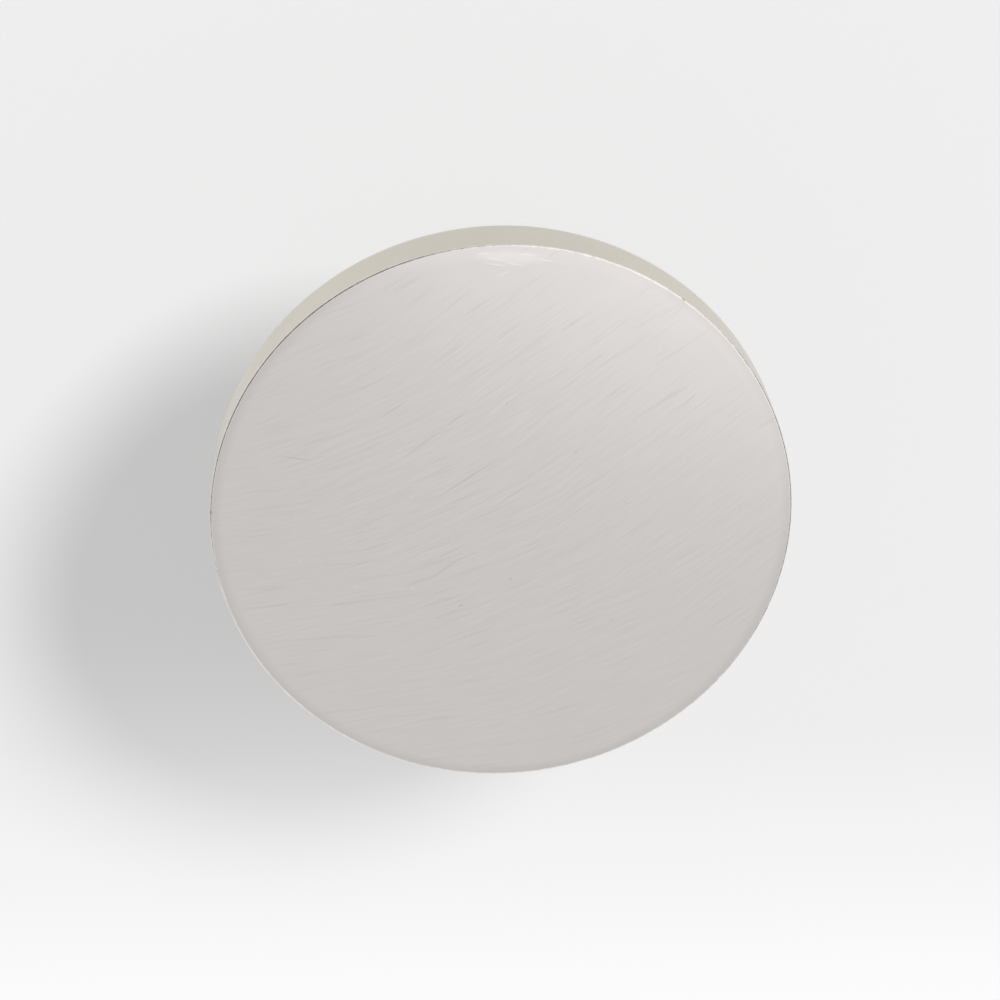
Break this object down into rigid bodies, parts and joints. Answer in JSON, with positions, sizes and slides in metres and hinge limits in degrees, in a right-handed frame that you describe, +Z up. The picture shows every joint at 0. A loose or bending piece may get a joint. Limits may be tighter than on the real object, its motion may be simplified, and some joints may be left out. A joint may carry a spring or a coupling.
{
  "type": "cabinet knob",
  "caption": "Round cabinet knob with a gently crowned, brushed face, a tapered rim and a tapered stem, screwed to a door or drawer front from behind.",
  "frame": {"origin": "centre of the flat mounting face, where the knob's axis meets the door or drawer front", "axes": "-Y out along the knob's axis through the middle of the face, +Y into the door or drawer front, +Z up, +X to the right as seen from the front"},
  "size_m": [0.032, 0.0254, 0.032],
  "materials": {
    "brushed_nickel": "nickel plate, brushed in one direction on the face and satin turned elsewhere"
  },
  "bodies": {
    "root": {"knob": "brushed_nickel"}
  },
  "joints": []
}
